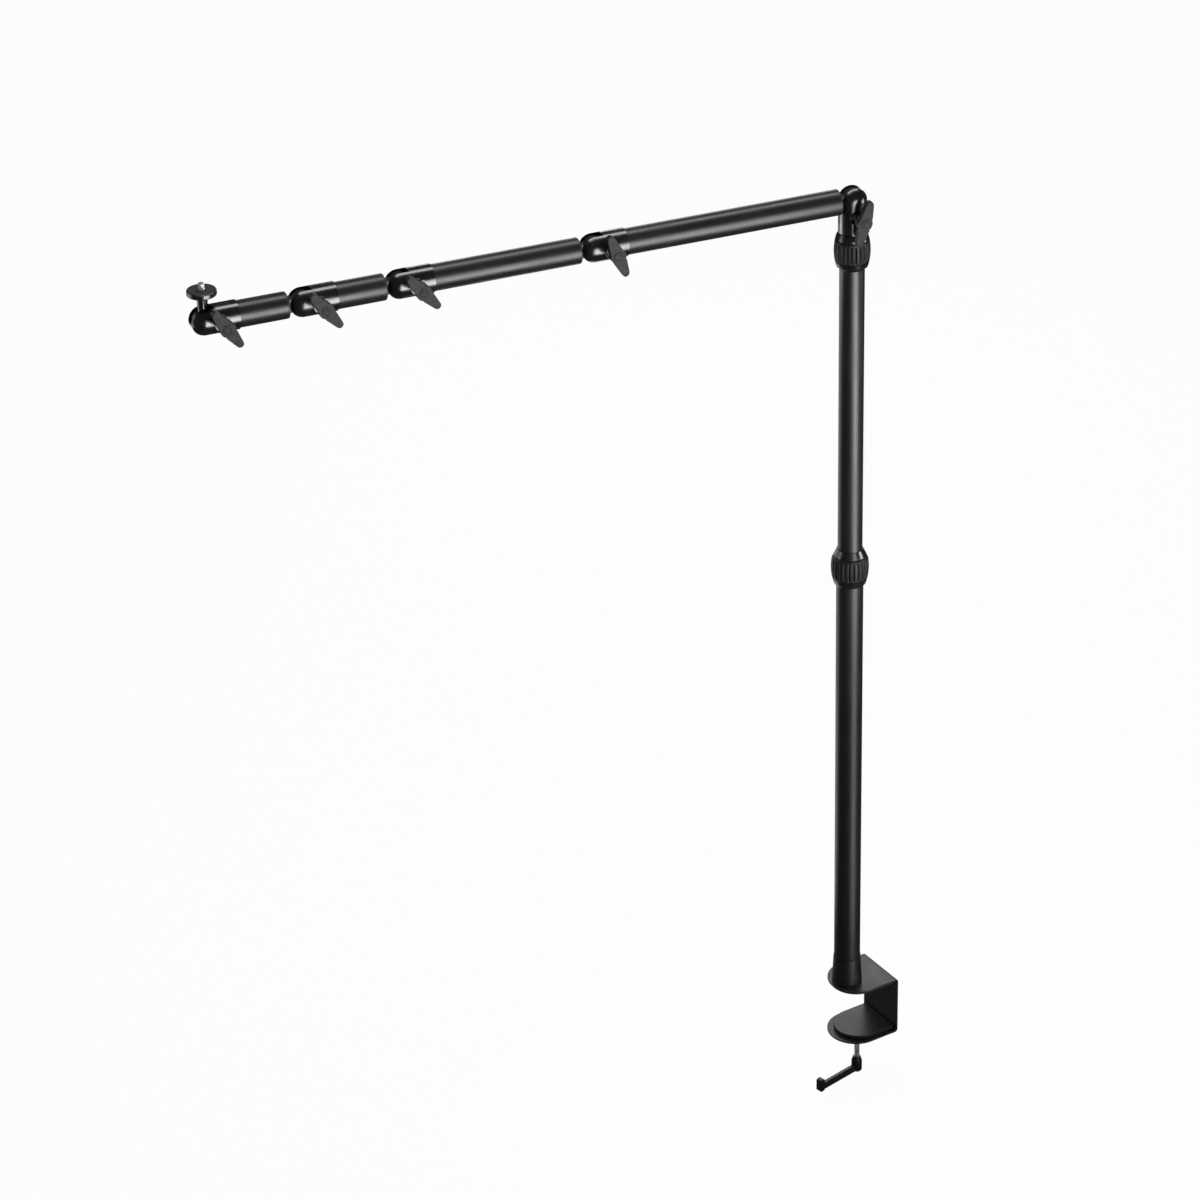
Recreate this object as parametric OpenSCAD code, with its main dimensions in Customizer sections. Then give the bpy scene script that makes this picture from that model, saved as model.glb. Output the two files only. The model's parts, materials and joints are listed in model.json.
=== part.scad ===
// Desk-clamp overhead arm stand: a telescopic column on a C-clamp, and a folding boom with a camera stud.
// Millimetres, Z up. Origin on the column axis, on the face that rests on the desk top.
// The desk enters the clamp from -X.

/* [Clamp] */
// Thickness of the bent bracket plate
plate_t = 2; // [2:0.1:2.8]
// Width of the bracket
plate_w = 61; // [50:0.5:80]
// Distance from the column axis to the outer face of the bracket's back
back_x = 46.6; // [44:0.1:70]
// Distance from the column axis to the centre of the round front end
round_x = 11.6; // [0:0.1:14]
// Outer height of the bracket
bracket_h = 68.7; // [50:0.1:100]
// Outer radius of the two bends
bend_r = 3.5; // [3:0.5:10]
// Thickness of the rubber pad under the top plate
jaw_pad_t = 3; // [1:0.5:4]
// Height of the flared column socket
socket_h = 33; // [15:1:50]
// Wall of the socket at its top
socket_wall = 0.6; // [0.6:0.1:3]
// Extra wall of the socket where it meets the plate
socket_flare = 1.6; // [0.4:0.1:3]
// Distance from the column axis to the clamp screw
screw_x = 14; // [8:0.5:20]
// Diameter of the clamp screw
screw_d = 6; // [5:0.5:10]
// How much the pressure plate is narrower than the bracket on each side
press_margin = 4.5; // [3:0.1:8]
// How far the round end of the pressure plate is centred behind the round end of the bracket
press_setback = 3; // [0:0.1:4]
// Thickness of the pressure plate
press_t = 4.2; // [4.2:0.1:8]
// Gap between the pressure plate and the lower flange in the pose of the photo
press_gap = 0.5; // [0.4:0.1:30]
// Free length of screw below the bracket in the pose of the photo
screw_free = 37; // [20:1:60]
// Reach of the crank handle
crank_r = 55.5; // [35:0.5:80]
// Direction of the crank handle
crank_yaw = 190; // [0:1:359]

/* [Column] */
// Outside diameter of the lower tube
lower_od = 28; // [25:0.1:40]
// Wall of the three column tubes
tube_wall = 1; // [0.8:0.1:2]
// Radial gap between telescoping tubes
tube_gap = 0.3; // [0.3:0.05:0.6]
// Length of the lower tube
lower_l = 507.5; // [300:0.5:700]
// Length of the middle tube
mid_l = 440; // [250:5:600]
// Length of middle tube seen between the two collars
mid_shown = 314.5; // [100:0.5:400]
// Length of the inner tube
inner_l = 330; // [200:5:500]

/* [Collars] */
// Height of the middle collar
mid_collar_h = 41; // [36:0.5:60]
// Height of the top collar
top_collar_h = 38.3; // [35.8:0.1:60]
// How far each collar swells out from the tube that carries it
collar_swell = 5.5; // [5:0.1:9]
// Grooves around each collar
grooves = 24; // [12:1:40]
// Width of a groove
groove_w = 2; // [1:0.1:3]
// Depth of a groove at the largest radius
groove_d = 1.2; // [0.4:0.1:1.5]

/* [Boom] */
// Outside diameter of the boom tubes
boom_od = 26; // [20:0.5:36]
// Wall of the boom tubes
boom_wall = 1.2; // [0.8:0.1:2]
// Pivot to pivot length of the section on the column
section_1_l = 272.5; // [120:0.5:400]
// Pivot to pivot length of the second section
section_2_l = 196.5; // [90:0.5:300]
// Pivot to pivot length of the third section
section_3_l = 96; // [80:0.5:200]
// Pivot to pivot length of the section at the tip
section_4_l = 96; // [80:0.5:200]
// Direction of the boom about the column
boom_yaw = 169.6; // [0:0.1:359]

/* [Joints] */
// Wall of the clevis barrels round the boom tubes
clevis_wall = 1.2; // [0.8:0.1:3]
// Length of a boom clevis from its pivot
clevis_l = 32; // [28:0.5:50]
// Length of the head clevis from its pivot
head_l = 33.2; // [33:0.1:60]
// Thickness of the tongues
tongue_t = 10; // [6:0.5:14]
// How far the round end of a tongue lies inside the clevis ball
tongue_inset = 3.2; // [2:0.1:4]
// Diameter of the pivot pins
pin_d = 6; // [4:0.5:8]
// Diameter of the clamp bolts
bolt_d = 6; // [4:0.5:8]
// Length of the wing levers from tip to tip
lever_l = 47; // [36:1:60]
// Diameter of the hub of a wing lever
lever_hub_d = 15.5; // [12:0.5:20]
// Distance from the clevis barrel to the middle of the wings
lever_stand = 13; // [8:0.2:20]
// Thickness of the wings
lever_t = 6.4; // [4:0.2:9]
// Turn of each lever about its bolt, from the column out
lever_turn = [106, 69, 50, 53, 57];

/* [Camera platform] */
// Height of the platform face over its pivot
platform_h = 31.3; // [26:0.1:50]
// Diameter of the platform
platform_d = 28.4; // [20:0.2:50]
// Thickness of the platform with its pad
platform_t = 5; // [4:0.2:8]
// Thickness of the pad
platform_pad_t = 0.8; // [0.5:0.1:2]
// Diameter of the neck
neck_d = 10; // [8:0.5:14]
// Diameter of the camera stud
stud_d = 6.35; // [6:0.05:9.6]
// Length of the camera stud over the platform
stud_l = 7; // [4:0.5:12]

/* [Hidden] */
$fn = 64;
eps = 0.01;
clear = 0.3;
run = 0.04;
push = 0.02;
// Clamp
plate_z = jaw_pad_t;
plate_top = plate_z + plate_t;
bracket_z = plate_top - bracket_h;
flange_top = bracket_z + plate_t;
press_z = flange_top + press_gap;
press_w = plate_w - 2 * press_margin;
press_round_x = round_x + press_setback;
socket_top_d = lower_od + 2 * socket_wall;
socket_base_d = socket_top_d + 2 * socket_flare;
inner_bend_r = bend_r - plate_t;
bend_rise = max(0, inner_bend_r - press_gap);
bend_reach = inner_bend_r - sqrt(inner_bend_r * inner_bend_r - bend_rise * bend_rise);
press_end = back_x - plate_t - bend_reach - 2 * clear;
foot_screw_d = 8;
foot_head_d = 15;
foot_head_h = 2.4;
foot_plug_h = 18;
foot_screw_l = 14;
jaw_inset = 2.5;
nut_af = 10;
nut_h = 5;
screw_head_d = 9.4;
screw_head_h = 1.4;
swivel_d = 10;
swivel_h = 1.2;
crank_z = bracket_z - screw_free;
crank_hub_h = 19;
crank_hub_r = 5.8;
crank_neck_r = 3.8;
crank_taper_h = 6;
crank_round_r = 2;
crank_sink = 12;
arm_h = 8.6;
arm_w = 7.4;
arm_edge = 2;
arm_waist = 0.4;
tab_w = 6.6;
tab_l = 6.6;
tab_h = 15;
tab_r = 2;
// Column
lower_id = lower_od - 2 * tube_wall;
mid_od = lower_id - 2 * tube_gap;
mid_id = mid_od - 2 * tube_wall;
inner_od = mid_id - 2 * tube_gap;
inner_id = inner_od - 2 * tube_wall;
lower_top = plate_top + lower_l;
tube_end_drop = 4;
mid_collar_r = lower_od / 2 + collar_swell;
top_collar_r = mid_od / 2 + collar_swell;
mid_collar_z = lower_top - mid_collar_h / 2 + tube_end_drop;
top_collar_z = mid_collar_z + mid_collar_h + mid_shown;
mid_top = top_collar_z + top_collar_h / 2 - tube_end_drop;
mid_z = mid_top - mid_l;
head_gap = 0.8;
head_z = top_collar_z + top_collar_h + head_gap;
elbow_z = head_z + head_l;
bush_h = 16;
bush_flange_h = 3;
bush_wall = 2;
// Collar sleeves
ferrule_t = 1.2;
ferrule_h = 12;
collet_h = 10;
collet_t = 2;
collet_slit = 1.2;
collet_root = 3.5;
collar_lip = 8;
collar_crown = 5;
collar_foot = 0.5;
collar_rim = 0.7;
head_rim = 0.1;
foot_slope = 1.1;
crown_slope = 0.46;
bulge_r = 60;
bulge_mid = 0.49;
head_bore = 14;
// Boom
boom_id = boom_od - 2 * boom_wall;
section_l = [section_1_l, section_2_l, section_3_l, section_4_l];
pivot_2_s = section_1_l;
pivot_3_s = pivot_2_s + section_2_l;
pivot_4_s = pivot_3_s + section_3_l;
pivot_s = [0, pivot_2_s, pivot_3_s, pivot_4_s, pivot_4_s + section_4_l];
slot_w = tongue_t + 2 * clear;
clevis_r = boom_od / 2 + clevis_wall;
tongue_r = clevis_r - tongue_inset;
cap_gap = 1.1;
cap_x = clevis_r + cap_gap;
slot_r = cap_x + 0.8;
tongue_neck = 6.8;
bolt_x = tongue_r + bolt_d / 2 + clear + 0.2;
cap_t = 2.2;
cap_r = 1;
spigot_l = 18;
socket_depth = 10;
bolt_head_af = 10;
bolt_head_h = 4;
bolt_seat = clevis_r - 1.6;
seat_margin = 1.2;
seat_wall = 1;
seat_rise = 0.8;
head_room = 1.6;
pin_back = clevis_r - 1.8;
pin_tip = clevis_r - 4;
boss_top_d = 15;
boss_base_d = 11.6;
lever_y = clevis_r + lever_stand;
lever_tip_r = 3.6;
lever_root_w = 15.4;
lever_cap_d = 9.6;
lever_cap_h = 0.4;
hub_rise = 0.5;
hub_step = 1.2;
bolt_end = lever_y + 1;
stud_root = 8;
stud_step = 0.2;
stud_core_d = stud_d - 2 * stud_step;
rim_r = 1;
face_wall = 1.6;

anodised = [0.06, 0.06, 0.065];
gloss = [0.03, 0.03, 0.035];
powder = [0.2, 0.2, 0.21];
grip = [0.12, 0.12, 0.125];
wing = [0.24, 0.24, 0.25];
steel = [0.75, 0.75, 0.77];
rubber = [0.05, 0.05, 0.05];
nylon = [0.3, 0.3, 0.3];

// Shared shapes

// Outline with straight sides and one round end, seen from above
module plan(w, centre_x, end_x) {
    intersection() {
        translate([centre_x, 0]) circle(d = w, $fn = 128);
        translate([centre_x - w / 2 - 1, -w / 2]) square([w / 2 + 1, w]);
    }
    translate([centre_x, -w / 2]) square([end_x - centre_x, w]);
}

// Rectangle with round corners
module rounded(x, y, r) {
    translate([r, 0]) square([x - 2 * r, y]);
    translate([0, r]) square([x, y - 2 * r]);
    for (cx = [r, x - r], cy = [r, y - r]) translate([cx, cy]) circle(r = r);
}

// Tube standing on its end
module pipe(od, id, h) {
    difference() {
        cylinder(d = od, h = h);
        translate([0, 0, -1]) cylinder(d = id, h = h + 2);
    }
}

// Child placed with +X along the boom and +Y along the joint axes
module on_boom(s) {
    rotate([0, 0, boom_yaw]) translate([s, 0, elbow_z]) children();
}

// Child drawn for a clevis that points along the boom, turned to point up the column
module on_head() {
    on_boom(0) rotate([0, -90, 0]) children();
}

// Cylinder along Y between two stations
module along_y(r, y0, y1) {
    translate([0, y0, 0]) rotate([-90, 0, 0]) cylinder(r = r, h = y1 - y0);
}

// Cylinder along X between two stations
module along_x(r, x0, x1) {
    translate([x0, 0, 0]) rotate([0, 90, 0]) cylinder(r = r, h = x1 - x0);
}

// Outside of a twist collar: a swelled band between the cone of its foot and the cone of its crown
module barrel(h, r, foot_r, rim_r) {
    rotate_extrude($fn = 96) intersection() {
        polygon([[0, 0], [foot_r, 0], [foot_r + foot_slope * h / 2, h / 2],
                 [rim_r + crown_slope * h / 2, h / 2], [rim_r, h], [0, h]]);
        translate([r - bulge_r, h * bulge_mid]) circle(r = bulge_r, $fn = 256);
    }
}

// Twist collar: stepped bore for the tubes, the ferrule and the collet
module twist_collar(h, r, outer_d, inner_d, rim_r) {
    slide_d = inner_d + 2 * clear;
    difference() {
        barrel(h, r, outer_d / 2 + collar_foot, rim_r);
        translate([0, 0, -1]) cylinder(d = outer_d + 2 * clear, h = collar_lip + 1 + eps);
        translate([0, 0, collar_lip])
            cylinder(d = outer_d + 2 * ferrule_t + 2 * clear, h = ferrule_h + 2 * clear);
        translate([0, 0, collar_lip])
            cylinder(d = slide_d + 2 * collet_t, h = h - collar_crown - collar_lip);
        translate([0, 0, -1]) cylinder(d = slide_d, h = h + 2);
        for (i = [0:grooves - 1]) rotate([0, 0, (i + 0.5) * 360 / grooves])
            translate([r - groove_d, -groove_w / 2, -1]) cube([groove_d + 1, groove_w, h + 2]);
    }
}

// Ferrule that carries a collar on the outer tube
module ferrule(outer_d) {
    pipe(outer_d + 2 * ferrule_t, outer_d + push, ferrule_h);
}

// Split collet between a collar and the sliding tube
module collet(inner_d) {
    difference() {
        pipe(inner_d + 2 * collet_t, inner_d + 2 * run, collet_h);
        for (i = [0:2]) rotate([0, 0, i * 120])
            translate([0, -collet_slit / 2, collet_root]) cube([inner_d, collet_slit, collet_h]);
    }
}

// Guide bush on the lower end of a sliding tube
module end_bush(outer_id, own_id) {
    cylinder(d = outer_id - 2 * run, h = bush_flange_h);
    difference() {
        cylinder(d = own_id - push, h = bush_h);
        translate([0, 0, bush_flange_h]) cylinder(d = own_id - 2 * bush_wall, h = bush_h);
    }
}

// Ball-ended clevis with its pivot at the origin and its fork along +X
module clevis(barrel_l, tube_d, tube_i, depth) {
    seat_r = boss_base_d / 2 + seat_margin;
    difference() {
        union() {
            sphere(r = clevis_r, $fn = 96);
            along_x(clevis_r, -barrel_l, 0);
            translate([-bolt_x, 0, 0])
                along_y(seat_r + seat_wall, bolt_seat - seat_wall, clevis_r + seat_rise);
        }
        along_y(slot_r, -slot_w / 2, slot_w / 2);
        along_y(pin_d / 2 + push / 2, -clevis_r - 1, pin_tip + clear);
        along_x(tube_d / 2 + push / 2, -barrel_l - 1, -barrel_l + depth);
        translate([-bolt_x, 0, 0]) {
            along_y(bolt_d / 2 + push / 2, -clevis_r - 1, clevis_r + 1);
            along_y(seat_r, bolt_seat, clevis_r + seat_rise + 1);
            along_y(bolt_head_af / 2 + head_room, -clevis_r - 1, -bolt_seat);
        }
    }
    along_x(tube_i / 2 - push / 2, -barrel_l + depth - spigot_l, -barrel_l + depth + eps);
}

// Tongue with its pivot at the origin and its neck along +X
module tongue(reach, neck) {
    difference() {
        union() {
            along_y(tongue_r, -tongue_t / 2, tongue_t / 2);
            translate([0, -tongue_t / 2, -neck]) cube([reach, tongue_t, 2 * neck]);
        }
        along_y(pin_d / 2 + run, -tongue_t, tongue_t);
    }
}

// Plug that closes the near end of a boom tube and carries the tongue
module tongue_plug() {
    tongue(cap_x + eps, tongue_neck);
    rotate([0, 90, 0]) translate([0, 0, cap_x]) rotate_extrude() {
        square([boom_od / 2 - cap_r, cap_t]);
        translate([0, cap_r]) square([boom_od / 2, cap_t - cap_r]);
        translate([boom_od / 2 - cap_r, cap_r]) circle(r = cap_r);
    }
    along_x(boom_id / 2 - push / 2, cap_x + cap_t - eps, cap_x + cap_t + spigot_l);
}

// Boom tube between its plug and its clevis
module boom_tube(l) {
    rotate([0, 90, 0]) translate([0, 0, cap_x + cap_t])
        pipe(boom_od, boom_id, l - clevis_l + socket_depth - cap_x - cap_t);
}

// Pivot pin pressed into a clevis from the back
module pin() {
    along_y(pin_d / 2, -pin_back, pin_tip);
}

// Clamp bolt across a clevis, with its hexagon head on the back
module bolt() {
    translate([-bolt_x, 0, 0]) {
        along_y(bolt_d / 2, -bolt_seat, bolt_end);
        translate([0, -bolt_seat - bolt_head_h, 0]) rotate([-90, 0, 0])
            cylinder(d = bolt_head_af / cos(30), h = bolt_head_h, $fn = 6);
    }
}

// One wing of a lever: straight sides from the hub to a round tip
module wing_half() {
    tip_x = lever_l / 2 - lever_tip_r;
    half = lever_root_w / 2;
    tilt = asin((half - lever_tip_r) / tip_x);
    polygon([[0, half], [tip_x + lever_tip_r * sin(tilt), lever_tip_r * cos(tilt)],
             [tip_x + lever_tip_r * sin(tilt), -lever_tip_r * cos(tilt)], [0, -half]]);
    translate([tip_x, 0]) circle(r = lever_tip_r);
}

// Wing lever on a clamp bolt
module lever(turn) {
    y0 = lever_y - lever_t / 2;
    y1 = lever_y + lever_t / 2;
    difference() {
        translate([-bolt_x, 0, 0]) rotate([0, -turn, 0]) {
            translate([0, y0, 0]) rotate([-90, 0, 0]) linear_extrude(lever_t) {
                wing_half();
                rotate(180) wing_half();
                circle(d = lever_hub_d);
            }
            translate([0, bolt_seat + clear, 0]) rotate([-90, 0, 0])
                cylinder(d1 = boss_base_d, d2 = boss_top_d, h = y0 - bolt_seat - clear + eps);
            along_y(lever_hub_d / 2 - hub_step, y1 - eps, y1 + hub_rise);
            along_y(lever_cap_d / 2, y1, y1 + hub_rise + lever_cap_h);
        }
        translate([-bolt_x, 0, 0]) along_y(bolt_d / 2 + run, 0, bolt_end + clear);
    }
}

// Clamp

module clamp_bracket() color(powder) {
    difference() {
        intersection() {
            translate([0, 0, bracket_z - 1]) linear_extrude(bracket_h + 2) plan(plate_w, round_x, back_x);
            translate([0, plate_w / 2, 0]) rotate([90, 0, 0])
                linear_extrude(plate_w) translate([0, bracket_z]) difference() {
                    translate([-2 * back_x, 0]) rounded(3 * back_x, bracket_h, bend_r);
                    translate([-2 * back_x - plate_t, plate_t])
                        rounded(3 * back_x, bracket_h - 2 * plate_t, inner_bend_r);
                }
        }
        translate([0, 0, plate_z - 1]) cylinder(d = foot_screw_d + 2 * push, h = plate_t + 2);
        translate([0, 0, plate_z - eps])
            cylinder(d1 = foot_head_d + push, d2 = foot_screw_d + push, h = foot_head_h);
        translate([screw_x, 0, bracket_z - 1]) cylinder(d = screw_d + 2 * clear, h = plate_t + 2);
    }
}

module jaw_pad() color(rubber) {
    linear_extrude(jaw_pad_t)
        plan(plate_w - 2 * jaw_inset, round_x, back_x - plate_t - inner_bend_r - jaw_inset);
}

module column_socket() color(anodised) {
    translate([0, 0, plate_top]) difference() {
        cylinder(d1 = socket_base_d, d2 = socket_top_d, h = socket_h);
        translate([0, 0, -1]) cylinder(d = lower_od + push, h = socket_h + 2);
    }
}

module foot_plug() color(steel) {
    translate([0, 0, plate_top]) pipe(lower_id - push, foot_screw_d + push, foot_plug_h);
}

module foot_screw() color(steel) {
    translate([0, 0, plate_z]) {
        cylinder(d1 = foot_head_d, d2 = foot_screw_d, h = foot_head_h);
        cylinder(d = foot_screw_d, h = plate_t + foot_screw_l);
    }
}

module clamp_nut() color(steel) {
    translate([screw_x, 0, bracket_z - nut_h]) difference() {
        cylinder(d = nut_af / cos(30), h = nut_h, $fn = 6);
        translate([0, 0, -1]) cylinder(d = screw_d + 2 * run, h = nut_h + 2);
    }
}

module pressure_plate() color(powder) {
    translate([0, 0, press_z]) difference() {
        linear_extrude(press_t) plan(press_w, press_round_x, press_end);
        translate([screw_x, 0, -1]) cylinder(d = swivel_d + push, h = 1 + swivel_h + screw_head_h + clear);
    }
}

module swivel_ring() color(steel) {
    translate([screw_x, 0, press_z]) pipe(swivel_d, screw_d + 2 * clear, swivel_h);
}

module clamp_screw() color(steel) {
    translate([screw_x, 0, crank_z - crank_sink]) {
        cylinder(d = screw_d, h = press_z + swivel_h - crank_z + crank_sink + clear / 2 + eps);
        translate([0, 0, press_z + swivel_h - crank_z + crank_sink + clear / 2])
            cylinder(d = screw_head_d, h = screw_head_h);
    }
}

module crank_handle() color(gloss) {
    translate([screw_x, 0, crank_z - crank_hub_h]) rotate([0, 0, crank_yaw]) difference() {
        union() {
            rotate_extrude() {
                square([crank_hub_r - crank_round_r, crank_hub_h - crank_taper_h]);
                translate([0, crank_round_r])
                    square([crank_hub_r, crank_hub_h - crank_taper_h - crank_round_r]);
                translate([crank_hub_r - crank_round_r, crank_round_r]) circle(r = crank_round_r);
                translate([0, crank_hub_h - crank_taper_h])
                    polygon([[0, 0], [crank_hub_r, 0], [crank_neck_r, crank_taper_h], [0, crank_taper_h]]);
            }
            rotate([90, 0, 90]) linear_extrude(crank_r)
                polygon([[arm_edge - arm_w / 2, 0], [arm_w / 2 - arm_edge, 0],
                         [arm_w / 2, arm_h * arm_waist], [arm_w / 2 - arm_edge, arm_h],
                         [arm_edge - arm_w / 2, arm_h], [-arm_w / 2, arm_h * arm_waist]]);
            translate([crank_r - tab_l / 2, tab_w / 2, 0]) rotate([90, 0, 0])
                linear_extrude(tab_w) rounded(tab_l, tab_h, tab_r);
        }
        translate([0, 0, crank_hub_h - crank_sink]) cylinder(d = screw_d + push, h = crank_sink + 1);
    }
}

// Column

module lower_tube() color(anodised) {
    translate([0, 0, plate_top]) pipe(lower_od, lower_id, lower_l);
}

module mid_ferrule() color(gloss) {
    translate([0, 0, mid_collar_z + collar_lip + clear]) ferrule(lower_od);
}

module mid_collar() color(grip) {
    translate([0, 0, mid_collar_z])
        twist_collar(mid_collar_h, mid_collar_r, lower_od, mid_od, mid_od / 2 + collar_rim);
}

module mid_collet() color(nylon) {
    translate([0, 0, mid_collar_z + mid_collar_h - collar_crown - clear - collet_h]) collet(mid_od);
}

module mid_tube() color(anodised) {
    translate([0, 0, mid_z]) pipe(mid_od, mid_id, mid_l);
}

module mid_bush() color(nylon) {
    translate([0, 0, mid_z - bush_flange_h]) end_bush(lower_id, mid_id);
}

module top_ferrule() color(gloss) {
    translate([0, 0, top_collar_z + collar_lip + clear]) ferrule(mid_od);
}

module top_collar() color(grip) {
    translate([0, 0, top_collar_z])
        twist_collar(top_collar_h, top_collar_r, mid_od, inner_od, clevis_r + head_rim);
}

module top_collet() color(nylon) {
    translate([0, 0, top_collar_z + top_collar_h - collar_crown - clear - collet_h]) collet(inner_od);
}

module inner_tube() color(anodised) {
    translate([0, 0, head_z + head_bore - inner_l]) pipe(inner_od, inner_id, inner_l);
}

module inner_bush() color(nylon) {
    translate([0, 0, head_z + head_bore - inner_l - bush_flange_h]) end_bush(mid_id, inner_id);
}

module head_clevis() color(gloss) on_head() clevis(head_l, inner_od, inner_id, head_bore);

module pin_1() color(steel) on_head() pin();

module bolt_1() color(steel) on_head() bolt();

module lever_1() color(wing) on_head() lever(lever_turn[0] - 90);

// Boom, section by section from the column out

module plug_1() color(gloss) on_boom(pivot_s[0]) tongue_plug();

module tube_1() color(anodised) on_boom(pivot_s[0]) boom_tube(section_l[0]);

module clevis_1() color(gloss) on_boom(pivot_s[1]) clevis(clevis_l, boom_od, boom_id, socket_depth);

module pin_2() color(steel) on_boom(pivot_s[1]) pin();

module bolt_2() color(steel) on_boom(pivot_s[1]) bolt();

module lever_2() color(wing) on_boom(pivot_s[1]) lever(lever_turn[1]);

module plug_2() color(gloss) on_boom(pivot_s[1]) tongue_plug();

module tube_2() color(anodised) on_boom(pivot_s[1]) boom_tube(section_l[1]);

module clevis_2() color(gloss) on_boom(pivot_s[2]) clevis(clevis_l, boom_od, boom_id, socket_depth);

module pin_3() color(steel) on_boom(pivot_s[2]) pin();

module bolt_3() color(steel) on_boom(pivot_s[2]) bolt();

module lever_3() color(wing) on_boom(pivot_s[2]) lever(lever_turn[2]);

module plug_3() color(gloss) on_boom(pivot_s[2]) tongue_plug();

module tube_3() color(anodised) on_boom(pivot_s[2]) boom_tube(section_l[2]);

module clevis_3() color(gloss) on_boom(pivot_s[3]) clevis(clevis_l, boom_od, boom_id, socket_depth);

module pin_4() color(steel) on_boom(pivot_s[3]) pin();

module bolt_4() color(steel) on_boom(pivot_s[3]) bolt();

module lever_4() color(wing) on_boom(pivot_s[3]) lever(lever_turn[3]);

module plug_4() color(gloss) on_boom(pivot_s[3]) tongue_plug();

module tube_4() color(anodised) on_boom(pivot_s[3]) boom_tube(section_l[3]);

module clevis_4() color(gloss) on_boom(pivot_s[4]) clevis(clevis_l, boom_od, boom_id, socket_depth);

module pin_5() color(steel) on_boom(pivot_s[4]) pin();

module bolt_5() color(steel) on_boom(pivot_s[4]) bolt();

module lever_5() color(wing) on_boom(pivot_s[4]) lever(lever_turn[4]);

// Camera platform

module camera_tongue() color(gloss) on_boom(pivot_s[4]) {
    difference() {
        union() {
            along_y(tongue_r, -tongue_t / 2, tongue_t / 2);
            cylinder(d = neck_d, h = platform_h - platform_t);
        }
        along_y(pin_d / 2 + run, -tongue_t, tongue_t);
        translate([0, 0, platform_h - platform_t - stud_root])
            cylinder(d = stud_core_d + push, h = stud_root + 1);
    }
}

module platform() color(gloss) on_boom(pivot_s[4]) translate([0, 0, platform_h - platform_t]) difference() {
    rotate_extrude($fn = 96) {
        square([platform_d / 2 - rim_r, platform_t]);
        translate([0, rim_r]) square([platform_d / 2, platform_t - 2 * rim_r]);
        translate([platform_d / 2 - rim_r, rim_r]) circle(r = rim_r);
        translate([platform_d / 2 - rim_r, platform_t - rim_r]) circle(r = rim_r);
    }
    translate([0, 0, platform_t - platform_pad_t])
        cylinder(d = platform_d - 2 * face_wall, h = platform_pad_t + 1);
    translate([0, 0, -1]) cylinder(d = stud_core_d + push, h = platform_t + 2);
}

module platform_pad() color(rubber) on_boom(pivot_s[4]) translate([0, 0, platform_h - platform_pad_t])
    pipe(platform_d - 2 * face_wall - push, stud_d + 2 * clear, platform_pad_t);

module stud() color(steel) on_boom(pivot_s[4]) {
    translate([0, 0, platform_h - platform_t - stud_root])
        cylinder(d = stud_core_d, h = stud_root + platform_t + stud_l);
    translate([0, 0, platform_h + stud_step]) cylinder(d = stud_d, h = stud_l - stud_step);
}

clamp_bracket();
jaw_pad();
column_socket();
foot_plug();
foot_screw();
clamp_nut();
pressure_plate();
swivel_ring();
clamp_screw();
crank_handle();
lower_tube();
mid_ferrule();
mid_collar();
mid_collet();
mid_tube();
mid_bush();
top_ferrule();
top_collar();
top_collet();
inner_tube();
inner_bush();
head_clevis();
pin_1();
bolt_1();
lever_1();
plug_1();
tube_1();
clevis_1();
pin_2();
bolt_2();
lever_2();
plug_2();
tube_2();
clevis_2();
pin_3();
bolt_3();
lever_3();
plug_3();
tube_3();
clevis_3();
pin_4();
bolt_4();
lever_4();
plug_4();
tube_4();
clevis_4();
pin_5();
bolt_5();
lever_5();
camera_tongue();
platform();
platform_pad();
stud();
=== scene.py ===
# %% [markdown]
# # A desk-clamp overhead arm
# A telescopic column stands on a desk clamp and carries a boom of four tubes that fold on clevis
# joints. Each joint is locked by a wing lever, and the tip carries a small round platform with a
# camera screw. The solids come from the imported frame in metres, standing where the real pieces
# stand. They could be modelled again here, but then the joints would no longer agree, so this
# lesson only dresses them: finishes for every surface, soft edges, and a few pieces with finer
# shapes, such as threads and ribs.

# %% Load the frame
import json
import math

import bmesh
import bpy
from mathutils import Matrix, Vector


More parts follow.
